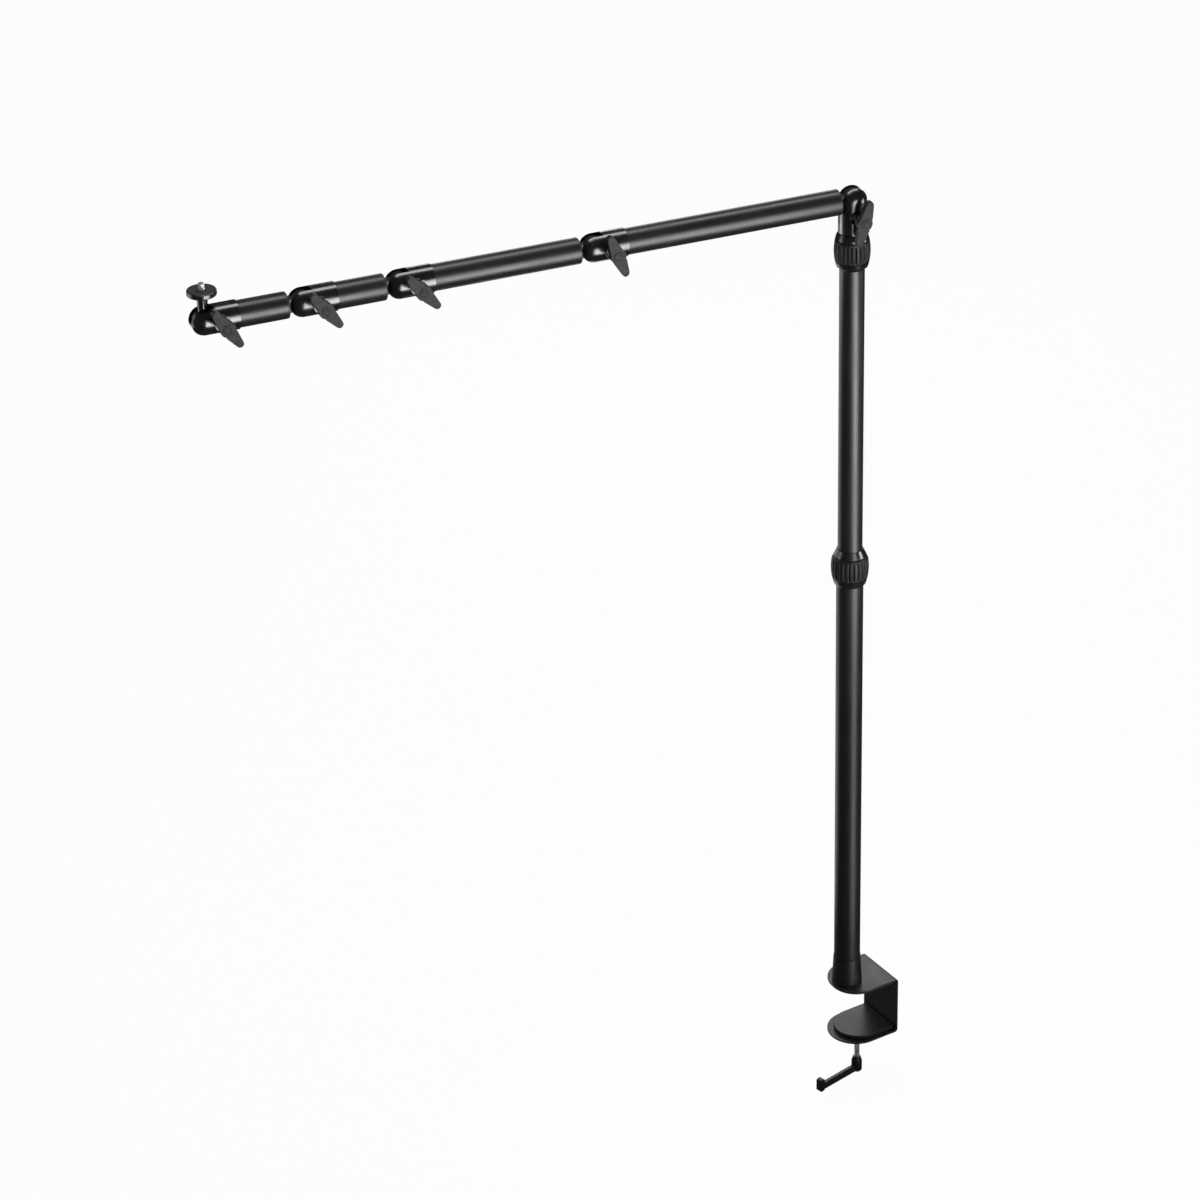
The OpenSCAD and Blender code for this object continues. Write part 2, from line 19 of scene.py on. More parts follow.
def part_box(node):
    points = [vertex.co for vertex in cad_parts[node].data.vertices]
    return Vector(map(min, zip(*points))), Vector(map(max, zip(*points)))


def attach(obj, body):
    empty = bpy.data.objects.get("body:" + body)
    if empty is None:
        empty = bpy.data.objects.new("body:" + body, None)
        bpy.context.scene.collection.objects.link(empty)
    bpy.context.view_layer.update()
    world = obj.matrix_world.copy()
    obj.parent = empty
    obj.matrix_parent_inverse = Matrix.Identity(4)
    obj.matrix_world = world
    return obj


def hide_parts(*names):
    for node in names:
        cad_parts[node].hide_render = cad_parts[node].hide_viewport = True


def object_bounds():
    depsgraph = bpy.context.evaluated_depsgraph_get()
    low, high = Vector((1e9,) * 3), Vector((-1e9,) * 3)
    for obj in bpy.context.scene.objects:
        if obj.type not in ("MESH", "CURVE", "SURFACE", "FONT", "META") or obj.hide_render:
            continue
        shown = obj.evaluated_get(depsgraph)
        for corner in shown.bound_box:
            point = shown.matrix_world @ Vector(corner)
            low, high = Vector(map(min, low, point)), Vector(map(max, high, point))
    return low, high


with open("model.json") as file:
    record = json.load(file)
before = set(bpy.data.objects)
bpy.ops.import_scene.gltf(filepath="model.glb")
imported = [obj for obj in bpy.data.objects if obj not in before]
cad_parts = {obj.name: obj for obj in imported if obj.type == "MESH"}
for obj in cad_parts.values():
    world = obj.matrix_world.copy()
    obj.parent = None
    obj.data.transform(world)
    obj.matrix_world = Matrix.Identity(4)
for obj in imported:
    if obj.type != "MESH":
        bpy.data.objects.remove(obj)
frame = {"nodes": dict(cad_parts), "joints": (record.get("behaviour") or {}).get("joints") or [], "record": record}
cad_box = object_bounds()
scene = bpy.context.scene
nodes = frame["nodes"]
MM = 0.001

# %% [markdown]
# ## The camera
# The photograph was taken from high up and far away with a long lens, so the tubes hardly
# converge. A camera can be aimed with a Track To constraint, but that leaves out the slight roll
# of the picture. Here its rotation is written as three turns, heading, pitch and roll, which were
# solved from the straight edges of the tubes.

# %% Camera
EYE = (-2.18879, -3.09103, 2.59775)
HEADING = math.radians(-31.42)
PITCH = math.radians(-29.23)
ROLL = math.radians(-1.48)
LENS = 126.5
SENSOR = 36
FARTHEST = 100

camera = bpy.data.objects.new("camera", bpy.data.cameras.new("camera"))
scene.collection.objects.link(camera)
camera.data.lens = LENS
camera.data.sensor_width = SENSOR
camera.data.clip_end = FARTHEST
camera.matrix_world = (
    Matrix.Translation(EYE)
    @ Matrix.Rotation(HEADING, 4, "Z")
    @ Matrix.Rotation(math.pi / 2 + PITCH, 4, "X")
    @ Matrix.Rotation(ROLL, 4, "Z")
)
scene.camera = camera
scene.view_settings.view_transform = "Standard"
print("camera at", EYE, "with a", LENS, "mm lens")

# %% [markdown]
# ## Shader sums in plain Python
# A material is a graph of nodes, and one that is clicked together by hand is slow to read back.
# The small class below wraps one socket of the graph. Its operators add Math nodes, so `1 - root`
# is a node too, and `add` makes any other node from its type, its settings and the values of its
# inputs.

# %% A socket that can be added and multiplied
class Wire:
    def __init__(self, tree, socket=None):
        self.tree = tree
        self.socket = socket

    def add(self, kind, settings=None, inputs=None, out=0):
        node = self.tree.nodes.new(kind)
        for name, value in (settings or {}).items():
            setattr(node, name, value)
        for name, value in (inputs or {}).items():
            if isinstance(value, Wire):
                self.tree.links.new(value.socket, node.inputs[name])
            else:
                node.inputs[name].default_value = value
        return Wire(self.tree, node.outputs[out] if node.outputs else None)

    def math(self, operation, *values):
        return self.add("ShaderNodeMath", {"operation": operation}, dict(enumerate(values)))

    def __add__(self, other):
        return self.math("ADD", self, other)

    __radd__ = __add__

    def __sub__(self, other):
        return self.math("SUBTRACT", self, other)

    def __rsub__(self, other):
        return self.math("SUBTRACT", other, self)

    def __mul__(self, other):
        return self.math("MULTIPLY", self, other)


def graph(block):
    block.use_nodes = True
    block.node_tree.nodes.clear()
    return Wire(block.node_tree)


print("shader sums ready")

# %% [markdown]
# ## The floor
# In use the stand is clamped to a desk, but the picture shows it alone on white, so a floor lies
# just under the crank. A floor that is lit until it looks paper white would wash out the object.
# Instead it turns white where the camera sees it, through the Light Path node, and keeps a small
# share of its own shading, which holds the soft shadow. Mirrored rays see the white too, but only
# a small share of it: bright metal still shows the background, and black parts keep their depth,
# because most of what they mirror is dark.

# %% Floor
FLOOR_GAP = 4
FLOOR_Z = cad_box[0][2] - FLOOR_GAP * MM
FLOOR_HALF = 30.0
FLOOR_SHARE = 0.97
FLOOR_TONE = 0.8
MIRRORED_WHITE = 0.06
FULL_WHITE = 1.0


def ray(start, kind):
    return start.add("ShaderNodeLightPath", out=kind)


def seen_white(start):
    mirrored = ray(start, "Is Glossy Ray") * MIRRORED_WHITE
    return ray(start, "Is Camera Ray") + ray(start, "Is Transmission Ray") + mirrored


pale = bpy.data.materials.new("pale_floor")
start = graph(pale)
tone = FLOOR_TONE - ray(start, "Is Glossy Ray") * FLOOR_TONE
shade = start.add("ShaderNodeBsdfDiffuse", inputs={"Color": tone})
paper = start.add("ShaderNodeEmission", inputs={"Strength": FULL_WHITE})
blend = {0: seen_white(start) * FLOOR_SHARE, 1: shade, 2: paper}
surface = start.add("ShaderNodeMixShader", inputs=blend)
start.add("ShaderNodeOutputMaterial", inputs={"Surface": surface})

floor_mesh = bpy.data.meshes.new("floor")
signs = ((-1, -1), (1, -1), (1, 1), (-1, 1))
corners = [(x * FLOOR_HALF, y * FLOOR_HALF, FLOOR_Z) for x, y in signs]
floor_mesh.from_pydata(corners, [], [(0, 1, 2, 3)])
floor_mesh.materials.append(pale)
floor = bpy.data.objects.new("floor", floor_mesh)
scene.collection.objects.link(floor)
print("floor at", round(FLOOR_Z / MM), "mm")

# %% [markdown]
# ## The world
# Behind the floor is the wall of the studio, which the photograph shows as plain white. The world
# gives it without a backdrop that would have to be bent and lit. The same Light Path sum decides
# who sees the white, and everything else meets a nearly dark room.

# %% World
WORLD_LIGHT = 0.02
WHITE = (1, 1, 1, 1)

scene.world = bpy.data.worlds.new("studio")
start = graph(scene.world)
dim = start.add("ShaderNodeBackground", inputs={"Color": WHITE, "Strength": WORLD_LIGHT})
bright = start.add("ShaderNodeBackground", inputs={"Color": WHITE, "Strength": FULL_WHITE})
surface = start.add("ShaderNodeMixShader", inputs={0: seen_white(start), 1: dim, 2: bright})
start.add("ShaderNodeOutputWorld", inputs={"Surface": surface})
print("world at", WORLD_LIGHT, "of white")

# %% [markdown]
# ## The lamps
# Black parts are drawn by what they mirror. The photograph shows one broad soft band on every
# tube, a thinner one along the top of the boom, a pale rim on the left of the column and a sheen
# on the flat plates. Each is one soft box: its place follows from mirroring the line of sight in
# the surface that shows it. Area lamps give such edges, where a sun or a point lamp would give a
# hard glint. A honeycomb grid, given as half the angle of its cone, keeps some boxes to one part
# of the stand. It narrows the cone of light, and the sum in soft_box keeps the brightness on the
# axis the same.

# %% Soft boxes
def soft_box(name, place, target, size, radiance, grid=None):
    wide, tall = size
    lamp = bpy.data.lights.new(name, "AREA")
    lamp.shape = "RECTANGLE"
    lamp.size, lamp.size_y = wide, tall
    lamp.energy = radiance * math.pi * wide * tall
    if grid:
        cone = math.radians(grid)
        lamp.spread = 2 * cone
        lamp.energy *= 1 - cone / math.tan(cone)
    box = bpy.data.objects.new(name, lamp)
    scene.collection.objects.link(box)
    aim = Vector(target) - Vector(place)
    box.location = place
    box.rotation_euler = aim.to_track_quat("-Z", "Y").to_euler()
    box.visible_camera = False
    print(name, "at", place, "with", round(lamp.energy, 1), "W")


soft_box("boom_box", (-0.31, -1.35, 0.71), (-0.36, 0.0, 1.1), (1.26, 1.16), 12.3, grid=40)
soft_box("column_box", (0.08, -0.4, 0.47), (0.0, 0.0, 0.594), (0.33, 0.34), 9.2, grid=30)
soft_box("column_low_box", (0.08, -0.4, 0.07), (0.0, 0.0, 0.194), (0.33, 0.46), 5.4, grid=30)
soft_box("overhead_box", (0.1, 0.26, 2.3), (0.1, 0.0, 0.9), (2.0, 0.5), 5.9)
soft_box("left_panel", (-0.08, 0.29, 0.33), (0.0, 0.0, 0.33), (0.33, 0.86), 1.0)
soft_box("left_box", (-1.0, 0.515, 0.85), (0.0, 0.0, 0.7), (0.45, 0.7), 1.7)
soft_box("right_box", (0.9, -0.68, 0.7), (0.0, 0.0, 0.53), (0.35, 0.4), 8.0)
soft_box("head_box", (-0.3, 0.336, 0.68), (0.0, 0.0, 0.91), (0.25, 0.06), 7.5, grid=25)
soft_box("back_box", (1.05, 1.75, 1.1), (0.0, 0.0, 0.0), (1.3, 1.1), 2.2)

# %% [markdown]
# ## Noise
# No real surface is even: it has grains, smudges and rubbed patches. A picture texture could show
# them, but it needs an unwrapped mesh and it can't be looked at from close by. Noise has neither
# limit. It rarely leaves the middle of its range, so `spread` stretches that middle between two
# values, and `mask` cuts patches out of it.

# %% Helpers for noise
NOISE_LOW, NOISE_HIGH = 0.3, 0.7


def noise(place, size_mm, detail=2.0, stretch=None):
    spot = place
    if stretch:
        spot = place.add("ShaderNodeMapping", inputs={"Vector": place, "Scale": stretch})
    inputs = {"Vector": spot, "Scale": 1 / (size_mm * MM), "Detail": detail}
    return place.add("ShaderNodeTexNoise", inputs=inputs)


def spread(value, to_low, to_high, low=NOISE_LOW, high=NOISE_HIGH):
    settings = {"interpolation_type": "SMOOTHSTEP"}
    limits = {"From Min": low, "From Max": high, "To Min": to_low, "To Max": to_high}
    return value.add("ShaderNodeMapRange", settings, {"Value": value, **limits})


def mask(value, low, high):
    return spread(value, 0.0, 1.0, low, high)


def bump(height, depth_mm):
    return height.add("ShaderNodeBump", inputs={"Height": height, "Distance": depth_mm * MM})


def painted(place, name):
    return place.add("ShaderNodeAttribute", {"attribute_name": name}, out="Fac")


print("noise stretched from", NOISE_LOW, "to", NOISE_HIGH)

# %% [markdown]
# ## Finishes
# Every finish is built the same way: a function gets the place on the surface and returns the
# sockets of the Principled shader that vary. The place could be taken in the world, but then the
# pattern would swim when a joint moves, so it is in object coordinates, which stay on the piece.

# %% Helper for a finish
finishes = {}


def finish(name, build, **fixed):
    block = bpy.data.materials.new(name)
    start = graph(block)
    sockets = {socket.replace("_", " "): value for socket, value in fixed.items()}
    sockets.update(build(start.add("ShaderNodeTexCoord", out="Object")))
    shader = start.add("ShaderNodeBsdfPrincipled", inputs=sockets)
    start.add("ShaderNodeOutputMaterial", inputs={"Surface": shader})
    finishes[name] = block
    print("finish", name, "with", len(block.node_tree.nodes), "nodes")


print("finish maker ready")

# %% [markdown]
# ### Satin anodised tube
# The tubes are drawn aluminium, anodised black. Drawing leaves hair-fine lines along the tube, and
# the oxide takes light in a soft band. The lines are noise that is squeezed across the tube and
# stretched along it. The boom stands at an angle to the axes, so the coordinates are first turned
# in line with it, and the boom gets its own copy of the finish, stretched the other way. The
# Anisotropic setting could stretch the highlight instead, but it shows no lines. A larger noise
# changes the roughness where hands have been.

# %% Satin anodised tube
ALONG_COLUMN = (1, 1, 0.01)
ALONG_BOOM = (0.01, 1, 1)
joints = {joint["name"]: joint for joint in frame["joints"]}
boom_side = joints["wing_2_turn"]["axis"]
BOOM_YAW = math.atan2(-boom_side[0], boom_side[1])


def anodise(along):
    def build(place):
        turned_by = {"Vector": place, "Angle": -BOOM_YAW}
        spot = place.add("ShaderNodeVectorRotate", {"rotation_type": "Z_AXIS"}, turned_by)
        drawn = noise(spot, 0.5, 3.0, along)
        grain = noise(spot, 0.9, 2.0)
        hands = noise(spot, 45, 3.0)
        return {
            "Base Color": spread(drawn, 0.004, 0.009),
            "Roughness": spread(hands, 0.34, 0.4, 0.35, 0.7) + spread(grain, -0.03, 0.03),
            "Normal": bump(drawn * 0.6 + grain * 0.4, 0.012),
        }
    return build


finish("black_anodise", anodise(ALONG_COLUMN))
finish("black_anodise_boom", anodise(ALONG_BOOM))

# %% [markdown]
# ### Gloss enamel
# The clevises, the ferrules and the platform have a thick gloss enamel, and the shells of the
# collars and the bosses of the levers are mouldings with the same gloss. Enamel pulls tight as it
# cures and leaves a faint ripple, called orange peel, which makes the edge of a mirrored lamp
# wander. A clear coat over a rougher base would do for car paint. Here one layer with smudged
# roughness is nearer the real thing.

# %% Gloss enamel
def enamel(place):
    peel = noise(place, 2.2, 1.0)
    smudge = noise(place, 14, 4.0)
    dust = mask(noise(place, 0.35, 1.0), 0.68, 0.74)
    return {
        "Base Color": spread(smudge, 0.0025, 0.005, 0.4, 0.7) + dust * 0.01,
        "Roughness": spread(smudge, 0.2, 0.27, 0.35, 0.7) + dust * 0.1,
        "Normal": bump(peel, 0.012),
    }


finish("gloss_black", enamel, Specular_IOR_Level=0.9)

# %% [markdown]
# ### Powder coat
# The bracket and the pressure plate are steel plate under a baked powder coat. The grains melt
# into a pebbled skin about half a millimetre wide, duller than enamel. Displaced
# pebbles would need a very fine mesh, so a bump carries them and a longer swell. Rubbed patches
# shine a little more.

# %% Powder coat
def powder(place):
    pebbles = noise(place, 0.5, 2.0)
    swell = noise(place, 4.0, 1.0)
    rubbed = mask(noise(place, 22, 4.0), 0.5, 0.75)
    return {
        "Base Color": spread(pebbles, 0.01, 0.018) + rubbed * 0.005,
        "Roughness": 0.36 - rubbed * 0.07,
        "Normal": bump(pebbles * 0.7 + swell * 0.3, 0.03),
    }


finish("powder_coat", powder)

# %% [markdown]
# ### Moulded grip
# The band of a twist collar is moulded soft plastic with raised ribs. The ribs are real shape,
# made further down, and their crests are polished by fingers. The pointiness of the Geometry
# node could find the crests, but it changes with the mesh. So the mesh carries a painted value
# named crest, one on a crest and none in a groove, and the finish knows where to shine.

# %% Moulded grip
def grip(place):
    stipple = noise(place, 0.35, 2.0)
    crest = painted(place, "crest")
    return {
        "Base Color": spread(stipple, 0.003, 0.006) + crest * 0.005,
        "Roughness": 0.56 - crest * 0.12,
        "Normal": bump(stipple, 0.03),
    }


finish("grip", grip, Specular_IOR_Level=0.2)

# %% [markdown]
# ### Wing plastic
# The wing levers are glass-filled nylon straight from the mould: dark grey, quite matte, with a
# sandy skin and pale flow marks. One even grey would do from far away. Close by, fibre near the
# surface makes the plastic lighter in streaks, which the longer noise draws.

# %% Wing plastic
def wing(place):
    sand = noise(place, 0.4, 3.0)
    flow = noise(place, 9, 3.0, stretch=(1, 1, 2.5))
    rubbed = mask(noise(place, 5, 3.0), 0.55, 0.8)
    streaks = spread(flow, 0.018, 0.028) + spread(sand, -0.004, 0.004)
    return {
        "Base Color": streaks + rubbed * 0.005,
        "Roughness": spread(sand, 0.5, 0.62),
        "Normal": bump(sand, 0.04),
    }


finish("wing_plastic", wing, Specular_IOR_Level=0.2)

# %% [markdown]
# ### Cast crank
# The crank handle is cast and painted satin black. A casting keeps the sand of its mould under the
# paint. The grains could be sculpted, but a bump is enough at this size, coarser than on the tubes.

# %% Cast crank
def cast(place):
    sand = noise(place, 1.1, 3.0)
    worn = mask(noise(place, 6, 4.0), 0.58, 0.78)
    return {
        "Base Color": spread(sand, 0.006, 0.011) + worn * 0.012,
        "Roughness": spread(sand, 0.3, 0.38) - worn * 0.06,
        "Normal": bump(sand, 0.05),
    }


finish("crank_black", cast)

# %% [markdown]
# ### Two steels
# The stud and the clamp screw are bright plated steel. Their thread roots get painted shade: a
# painted value darkens the base colour there. Pins, bolts, the nut and what holds the foot are
# blackened. Both could share one finish with a colour each, but plating is hazy and oxide is
# mottled, so each has its own noise.

# %% Two steels
def plated(place):
    haze = noise(place, 3, 4.0)
    root = painted(place, "root")
    return {
        # Painted shade: the base colour is darker in the thread roots.
        "Base Color": spread(haze, 0.72, 0.84) * (1 - root * 0.45),
        "Roughness": spread(haze, 0.14, 0.24) + root * 0.15,
        "Normal": bump(noise(place, 0.3, 2.0), 0.004),
    }


def oxide(place):
    mottle = noise(place, 2.5, 4.0)
    return {
        "Base Color": spread(mottle, 0.07, 0.14),
        "Roughness": spread(mottle, 0.28, 0.42),
        "Normal": bump(mottle, 0.006),
    }


finish("bright_steel", plated, Metallic=0.6)
finish("dark_steel", oxide, Metallic=1.0)

# %% [markdown]
# ### Rubber and plain mouldings
# The pads are rubber with a dusty bloom. The collets and bushes inside the tubes are plain grey
# nylon, which only shows when the column is taken apart. The plugs in the ends of the boom tubes
# are the same moulding in black, so one function makes both.

# %% Rubber and plain mouldings
def rubbery(place):
    skin_grain = noise(place, 0.3, 2.0)
    bloom = mask(noise(place, 7, 4.0), 0.45, 0.75)
    return {
        "Base Color": spread(skin_grain, 0.012, 0.02) + bloom * 0.012,
        "Roughness": 0.66 + bloom * 0.14,
        "Normal": bump(skin_grain, 0.04),
    }


def moulded(dark, light):
    def build(place):
        skin_grain = noise(place, 0.6, 2.0)
        return {
            "Base Color": spread(skin_grain, dark, light),
            "Roughness": spread(skin_grain, 0.42, 0.52),
            "Normal": bump(skin_grain, 0.02),
        }
    return build


finish("rubber", rubbery)
finish("nylon", moulded(0.1, 0.14))
finish("end_plug", moulded(0.005, 0.009))

# %% [markdown]
# ## Rings and skins
# A turned or moulded piece is a stack of rings, and a skin of quads joins each ring to the next.
# Blender's Screw modifier also turns a profile, but every ring would be round. With plain rings
# each point may have its own radius, so ribs are part of the same skin. A piece with a bore is a
# stack that closes on itself, like a doughnut.

# %% Rings and skins
def around(centre, radius, angle, z):
    x, y = centre[0] + radius * math.cos(angle), centre[1] + radius * math.sin(angle)
    return Vector((x, y, z)) * MM


def turned(profile, steps, centre=(0, 0), ease=None):
    rings = []
    for radius, z in profile:
        ring = []
        for i in range(steps):
            turn = 2 * math.pi * i / steps
            reach = radius - (ease(turn, z) if ease else 0.0)
            ring.append(around(centre, reach, turn, z))
        rings.append(ring)
    return rings


def skin(rings, bored=False):
    shape = bmesh.new()
    rows = [[shape.verts.new(point) for point in ring] for ring in rings]
    for low, high in zip(rows, rows[1:] + rows[:1] if bored else rows[1:]):
        for i, corner in enumerate(low):
            shape.faces.new((low[i - 1], corner, high[i], high[i - 1]))
    if not bored:
        shape.faces.new(reversed(rows[0]))
        shape.faces.new(rows[-1])
    return shape


print("rings and skins ready")

# %% [markdown]
# ## From a shape to a piece
# A shape becomes a piece of the stand when it has a finish, rides on the body of a joint and, if a
# solid was there before, takes that solid's place. Smooth shading would blur every edge, so edges
# that are sharper than the crease angle stay crisp. Auto Smooth did this in older versions of
# Blender.

# %% From a shape to a piece
CREASE = 35


def piece(name, shape, body, slot, stands_for=None, crease=CREASE):
    bmesh.ops.recalc_face_normals(shape, faces=shape.faces)
    mesh = bpy.data.meshes.new(name)
    shape.to_mesh(mesh)
    shape.free()
    mesh.shade_smooth()
    mesh.set_sharp_from_angle(angle=math.radians(crease))
    mesh.materials.append(finishes[slot])
    made = bpy.data.objects.new(name, mesh)
    scene.collection.objects.link(made)
    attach(made, body)
    if stands_for:
        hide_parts(stands_for)
    print(name, "with", len(mesh.polygons), "faces")
    return made


def paint(made, name, values):
    made.data.attributes.new(name, "FLOAT", "POINT").data.foreach_set("value", values)


print("piece maker ready")

# %% [markdown]
# ## Measuring the solids
# The finer pieces have to fit where the solids were. Their sizes could be typed in again, but then
# a change to the solids would leave them behind, so they are read from the box round each solid,
# in millimetres.

# %% Measuring the solids
def half_width(node):
    low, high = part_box(node)
    return (high[0] - low[0]) / MM / 2


def heights(node):
    return [corner[2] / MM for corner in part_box(node)]


def axis(node):
    return [(low + high) / 2 / MM for low, high in zip(*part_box(node))][:2]


print("lower tube", round(2 * half_width("lower_tube"), 1), "mm wide")

# %% [markdown]
# ## Outline of a twist collar
# A twist collar is a gloss moulding that flares from the outer tube, swells into a belly and draws
# in again to the inner tube. The outline is the least of three curves: the cone of the foot, the
# cone of the crown and one big arc. A Bezier curve could be drawn instead, but the three curves
# are sizes that can be measured on the real one.

# %% Outline of a twist collar
FOOT_STEP, FOOT_SLOPE = 0.5, 1.1
CROWN_SLOPE = 0.46
BELLY_ARC, BELLY_AT = 60, 0.49
BAND_LOW, BAND_HIGH = 0.205, 0.82


class Collar:
    def __init__(self, node, body, outer_tube, inner_tube, rim_r):
        low, high = heights(node)
        self.node, self.body = node, body
        self.base, self.tall = low, high - low
        self.belly_r, self.rim_r = half_width(node), rim_r
        self.outer_r, self.inner_r = half_width(outer_tube), half_width(inner_tube)
        self.band = (self.tall * BAND_LOW, self.tall * BAND_HIGH)

    def reach(self, z):
        foot = self.outer_r + FOOT_STEP + FOOT_SLOPE * z
        crown = self.rim_r + CROWN_SLOPE * (self.tall - z)
        rise = z - BELLY_AT * self.tall
        belly = self.belly_r - BELLY_ARC + math.sqrt(BELLY_ARC ** 2 - rise ** 2)
        return min(foot, crown, belly)


RIM_WALL = 0.7
MID_RIM = half_width("mid_tube") + RIM_WALL
TOP_RIM = 14.3
collars = [
    Collar("mid_collar", "collar_a", "lower_tube", "mid_tube", MID_RIM),
    Collar("top_collar", "collar_b", "mid_tube", "inner_tube", TOP_RIM),
]
print("collars", [round(collar.tall, 1) for collar in collars], "mm tall")

# %% [markdown]
# ### The shell
# The gloss shell has a shallow waist for the grip band and a stepped bore, wide over the outer
# tube and the ferrule and narrow round the inner tube. Its profile runs up the outside and down
# the bore. A Boolean could cut the bore, but a profile that closes on itself gives clean quads.

# %% Shell of a collar
FOOT_STEPS, CROWN_STEPS, SHELL_STEPS = 12, 10, 96
BAND_DEEP, BAND_GAP, LIP = 1.5, 0.05, 0.4
SLIDE_GAP, FERRULE_WALL, COLLET_WALL = 0.3, 1.5, 2
NECK_TALL, FERRULE_LOW, FERRULE_HIGH = 5, 8, 20.6


def collar_shell(collar):
    tall, reach, (band_low, band_high) = collar.tall, collar.reach, collar.band
    foot = [i / FOOT_STEPS * (band_low - LIP) for i in range(FOOT_STEPS + 1)]
    rest = tall - band_high - LIP
    crown = [band_high + LIP + i / CROWN_STEPS * rest for i in range(CROWN_STEPS + 1)]
    waist = [(reach(z) - BAND_DEEP - BAND_GAP, z) for z in collar.band]
    shell = [(reach(z), z) for z in foot]
    shell += [(reach(band_low) - LIP, band_low), *waist, (reach(band_high) - LIP, band_high)]
    shell += [(reach(z), z) for z in crown]
    slide_r = collar.inner_r + SLIDE_GAP
    collet_r = slide_r + COLLET_WALL
    ferrule_r = collar.outer_r + FERRULE_WALL
    tube_r = collar.outer_r + SLIDE_GAP
    bore = [(slide_r, tall), (slide_r, tall - NECK_TALL),
            (collet_r, tall - NECK_TALL), (collet_r, FERRULE_HIGH),
            (ferrule_r, FERRULE_HIGH), (ferrule_r, FERRULE_LOW),
            (tube_r, FERRULE_LOW), (tube_r, 0)]
    profile = [(r, collar.base + z) for r, z in shell + bore]
    shape = skin(turned(profile, SHELL_STEPS), bored=True)
    piece(collar.node + "_shell", shape, collar.body, "gloss_black", collar.node)


print("shell maker ready")

# %% [markdown]
# ### The grip band
# The band has 24 flutes that run out before they reach its ends, so the ends stay smooth rings.
# Flutes could be cut with an array of cylinders and a Boolean, but here the radius simply dips
# where a flute passes, and the same dip is painted on as a crest value.

# %% Grip band of a collar
FLUTES, FLUTE_STEPS, FLUTE_ROWS = 24, 12, 44
FLUTE_DEEP, FLUTE_HALF, FLUTE_RUN = 1.2, 0.23, 3.0
FLUTE_FROM, FLUTE_TO = 1.2, 2.2
LOW_ROUND, LOW_RUN, HIGH_ROUND, HIGH_RUN = 0.9, 0.9, 0.7, 1.1
GRIP_CREASE = 50


def smooth(value):
    value = min(max(value, 0.0), 1.0)
    return value * value * (3 - 2 * value)


def collar_grip(collar):
    base, reach, (band_low, band_high) = collar.base, collar.reach, collar.band
    steps = FLUTES * FLUTE_STEPS

    def dip(turn, z):
        across = abs(turn * FLUTES / (2 * math.pi) % 1 - 0.5)
        begins = smooth((z - base - band_low - FLUTE_FROM) / FLUTE_RUN)
        ends = smooth((base + band_high - FLUTE_TO - z) / FLUTE_RUN)
        return FLUTE_DEEP * (begins * ends) * smooth(1 - across / FLUTE_HALF)

    def edge(z, low, high):
        return (LOW_ROUND * smooth(1 - (z - low) / LOW_RUN)
                + HIGH_ROUND * smooth(1 - (high - z) / HIGH_RUN))

    tall = band_high - band_low - 2 * BAND_GAP
    rows = [band_low + BAND_GAP + i / FLUTE_ROWS * tall for i in range(FLUTE_ROWS + 1)]
    face = [(reach(z) - edge(z, rows[0], rows[-1]), base + z) for z in rows]
    back = [(reach(z) - BAND_DEEP, base + z) for z in (rows[-1], rows[0])]
    rings = turned(face, steps, ease=dip) + turned(back, steps)
    shape = skin(rings, bored=True)
    made = piece(collar.node + "_grip", shape, collar.body, "grip", crease=GRIP_CREASE)
    turns = [2 * math.pi * i / steps for i in range(steps)]
    crest = [1 - dip(turn, z) / FLUTE_DEEP for r, z in face for turn in turns]
    paint(made, "crest", crest + [0.0] * (len(back) * steps))


for collar in collars:
    collar_shell(collar)
    collar_grip(collar)

# %% [markdown]
# ## Threads
# The clamp screw and the camera stud have real threads. A thread is one profile, root, flank,
# crest and flank, swept along a helix, and the last edge of each turn is the first edge of the
# next. A helix ends in mid air, so the skin starts under the lower end and stops above the upper
# one, and two planes cut it flat. A bump map of the same lines would be lighter, but the outline
# of the screw would stay smooth.

# %% Sweep of a thread
THREAD_STEPS = 24
THREAD_DEEP = 0.6
THREAD_EARLY = 1.5
# Share of the pitch, and how much of the depth is cut away there
THREAD_PROFILE = ((0.0, 1.0), (0.12, 1.0), (0.46, 0.0), (0.62, 0.0), (0.98, 1.0))


def sweep(shape, centre, low, high, crest_r, pitch, tip):
    # The root value marks the thread roots, where the plated finish paints shade.
    root = shape.verts.layers.float.new("root")
    turns = math.ceil((high - low) / pitch) + 2
    lines = []
    for step in range(turns * THREAD_STEPS + 1):
        angle = 2 * math.pi * step / THREAD_STEPS
        line = []
        for share, deep in THREAD_PROFILE:
            z = low + pitch * (step / THREAD_STEPS + share - THREAD_EARLY)
            radius = crest_r - THREAD_DEEP * pitch * deep
            radius = min(radius, crest_r - tip + max(high - z, 0))
            corner = shape.verts.new(around(centre, radius, angle, z))
            corner[root] = deep
            line.append(corner)
        lines.append(line)
    return lines


print("thread of", len(THREAD_PROFILE), "points in", THREAD_STEPS, "steps a turn")

# %% [markdown]
# ### Skin and ends of a thread
# A real thread is cut into a rod with flat ends. A Boolean with a box would cut the helix too, but
# it is slow and may fail on so many small faces. Bisect Plane cuts and clears one side in one
# step, and the open rim that it leaves is filled with one face.

# %% Skin and ends of a thread
ON_PLANE = 1e-6


def cut_flat(shape, z, side):
    parts = shape.verts[:] + shape.edges[:] + shape.faces[:]
    plane = {"plane_co": (0, 0, z * MM), "plane_no": (0, 0, side)}
    bmesh.ops.bisect_plane(shape, geom=parts, clear_outer=True, **plane)
    rim = [edge for edge in shape.edges if edge.is_boundary
           and all(abs(corner.co.z - z * MM) < ON_PLANE for corner in edge.verts)]
    bmesh.ops.edgeloop_fill(shape, edges=rim)


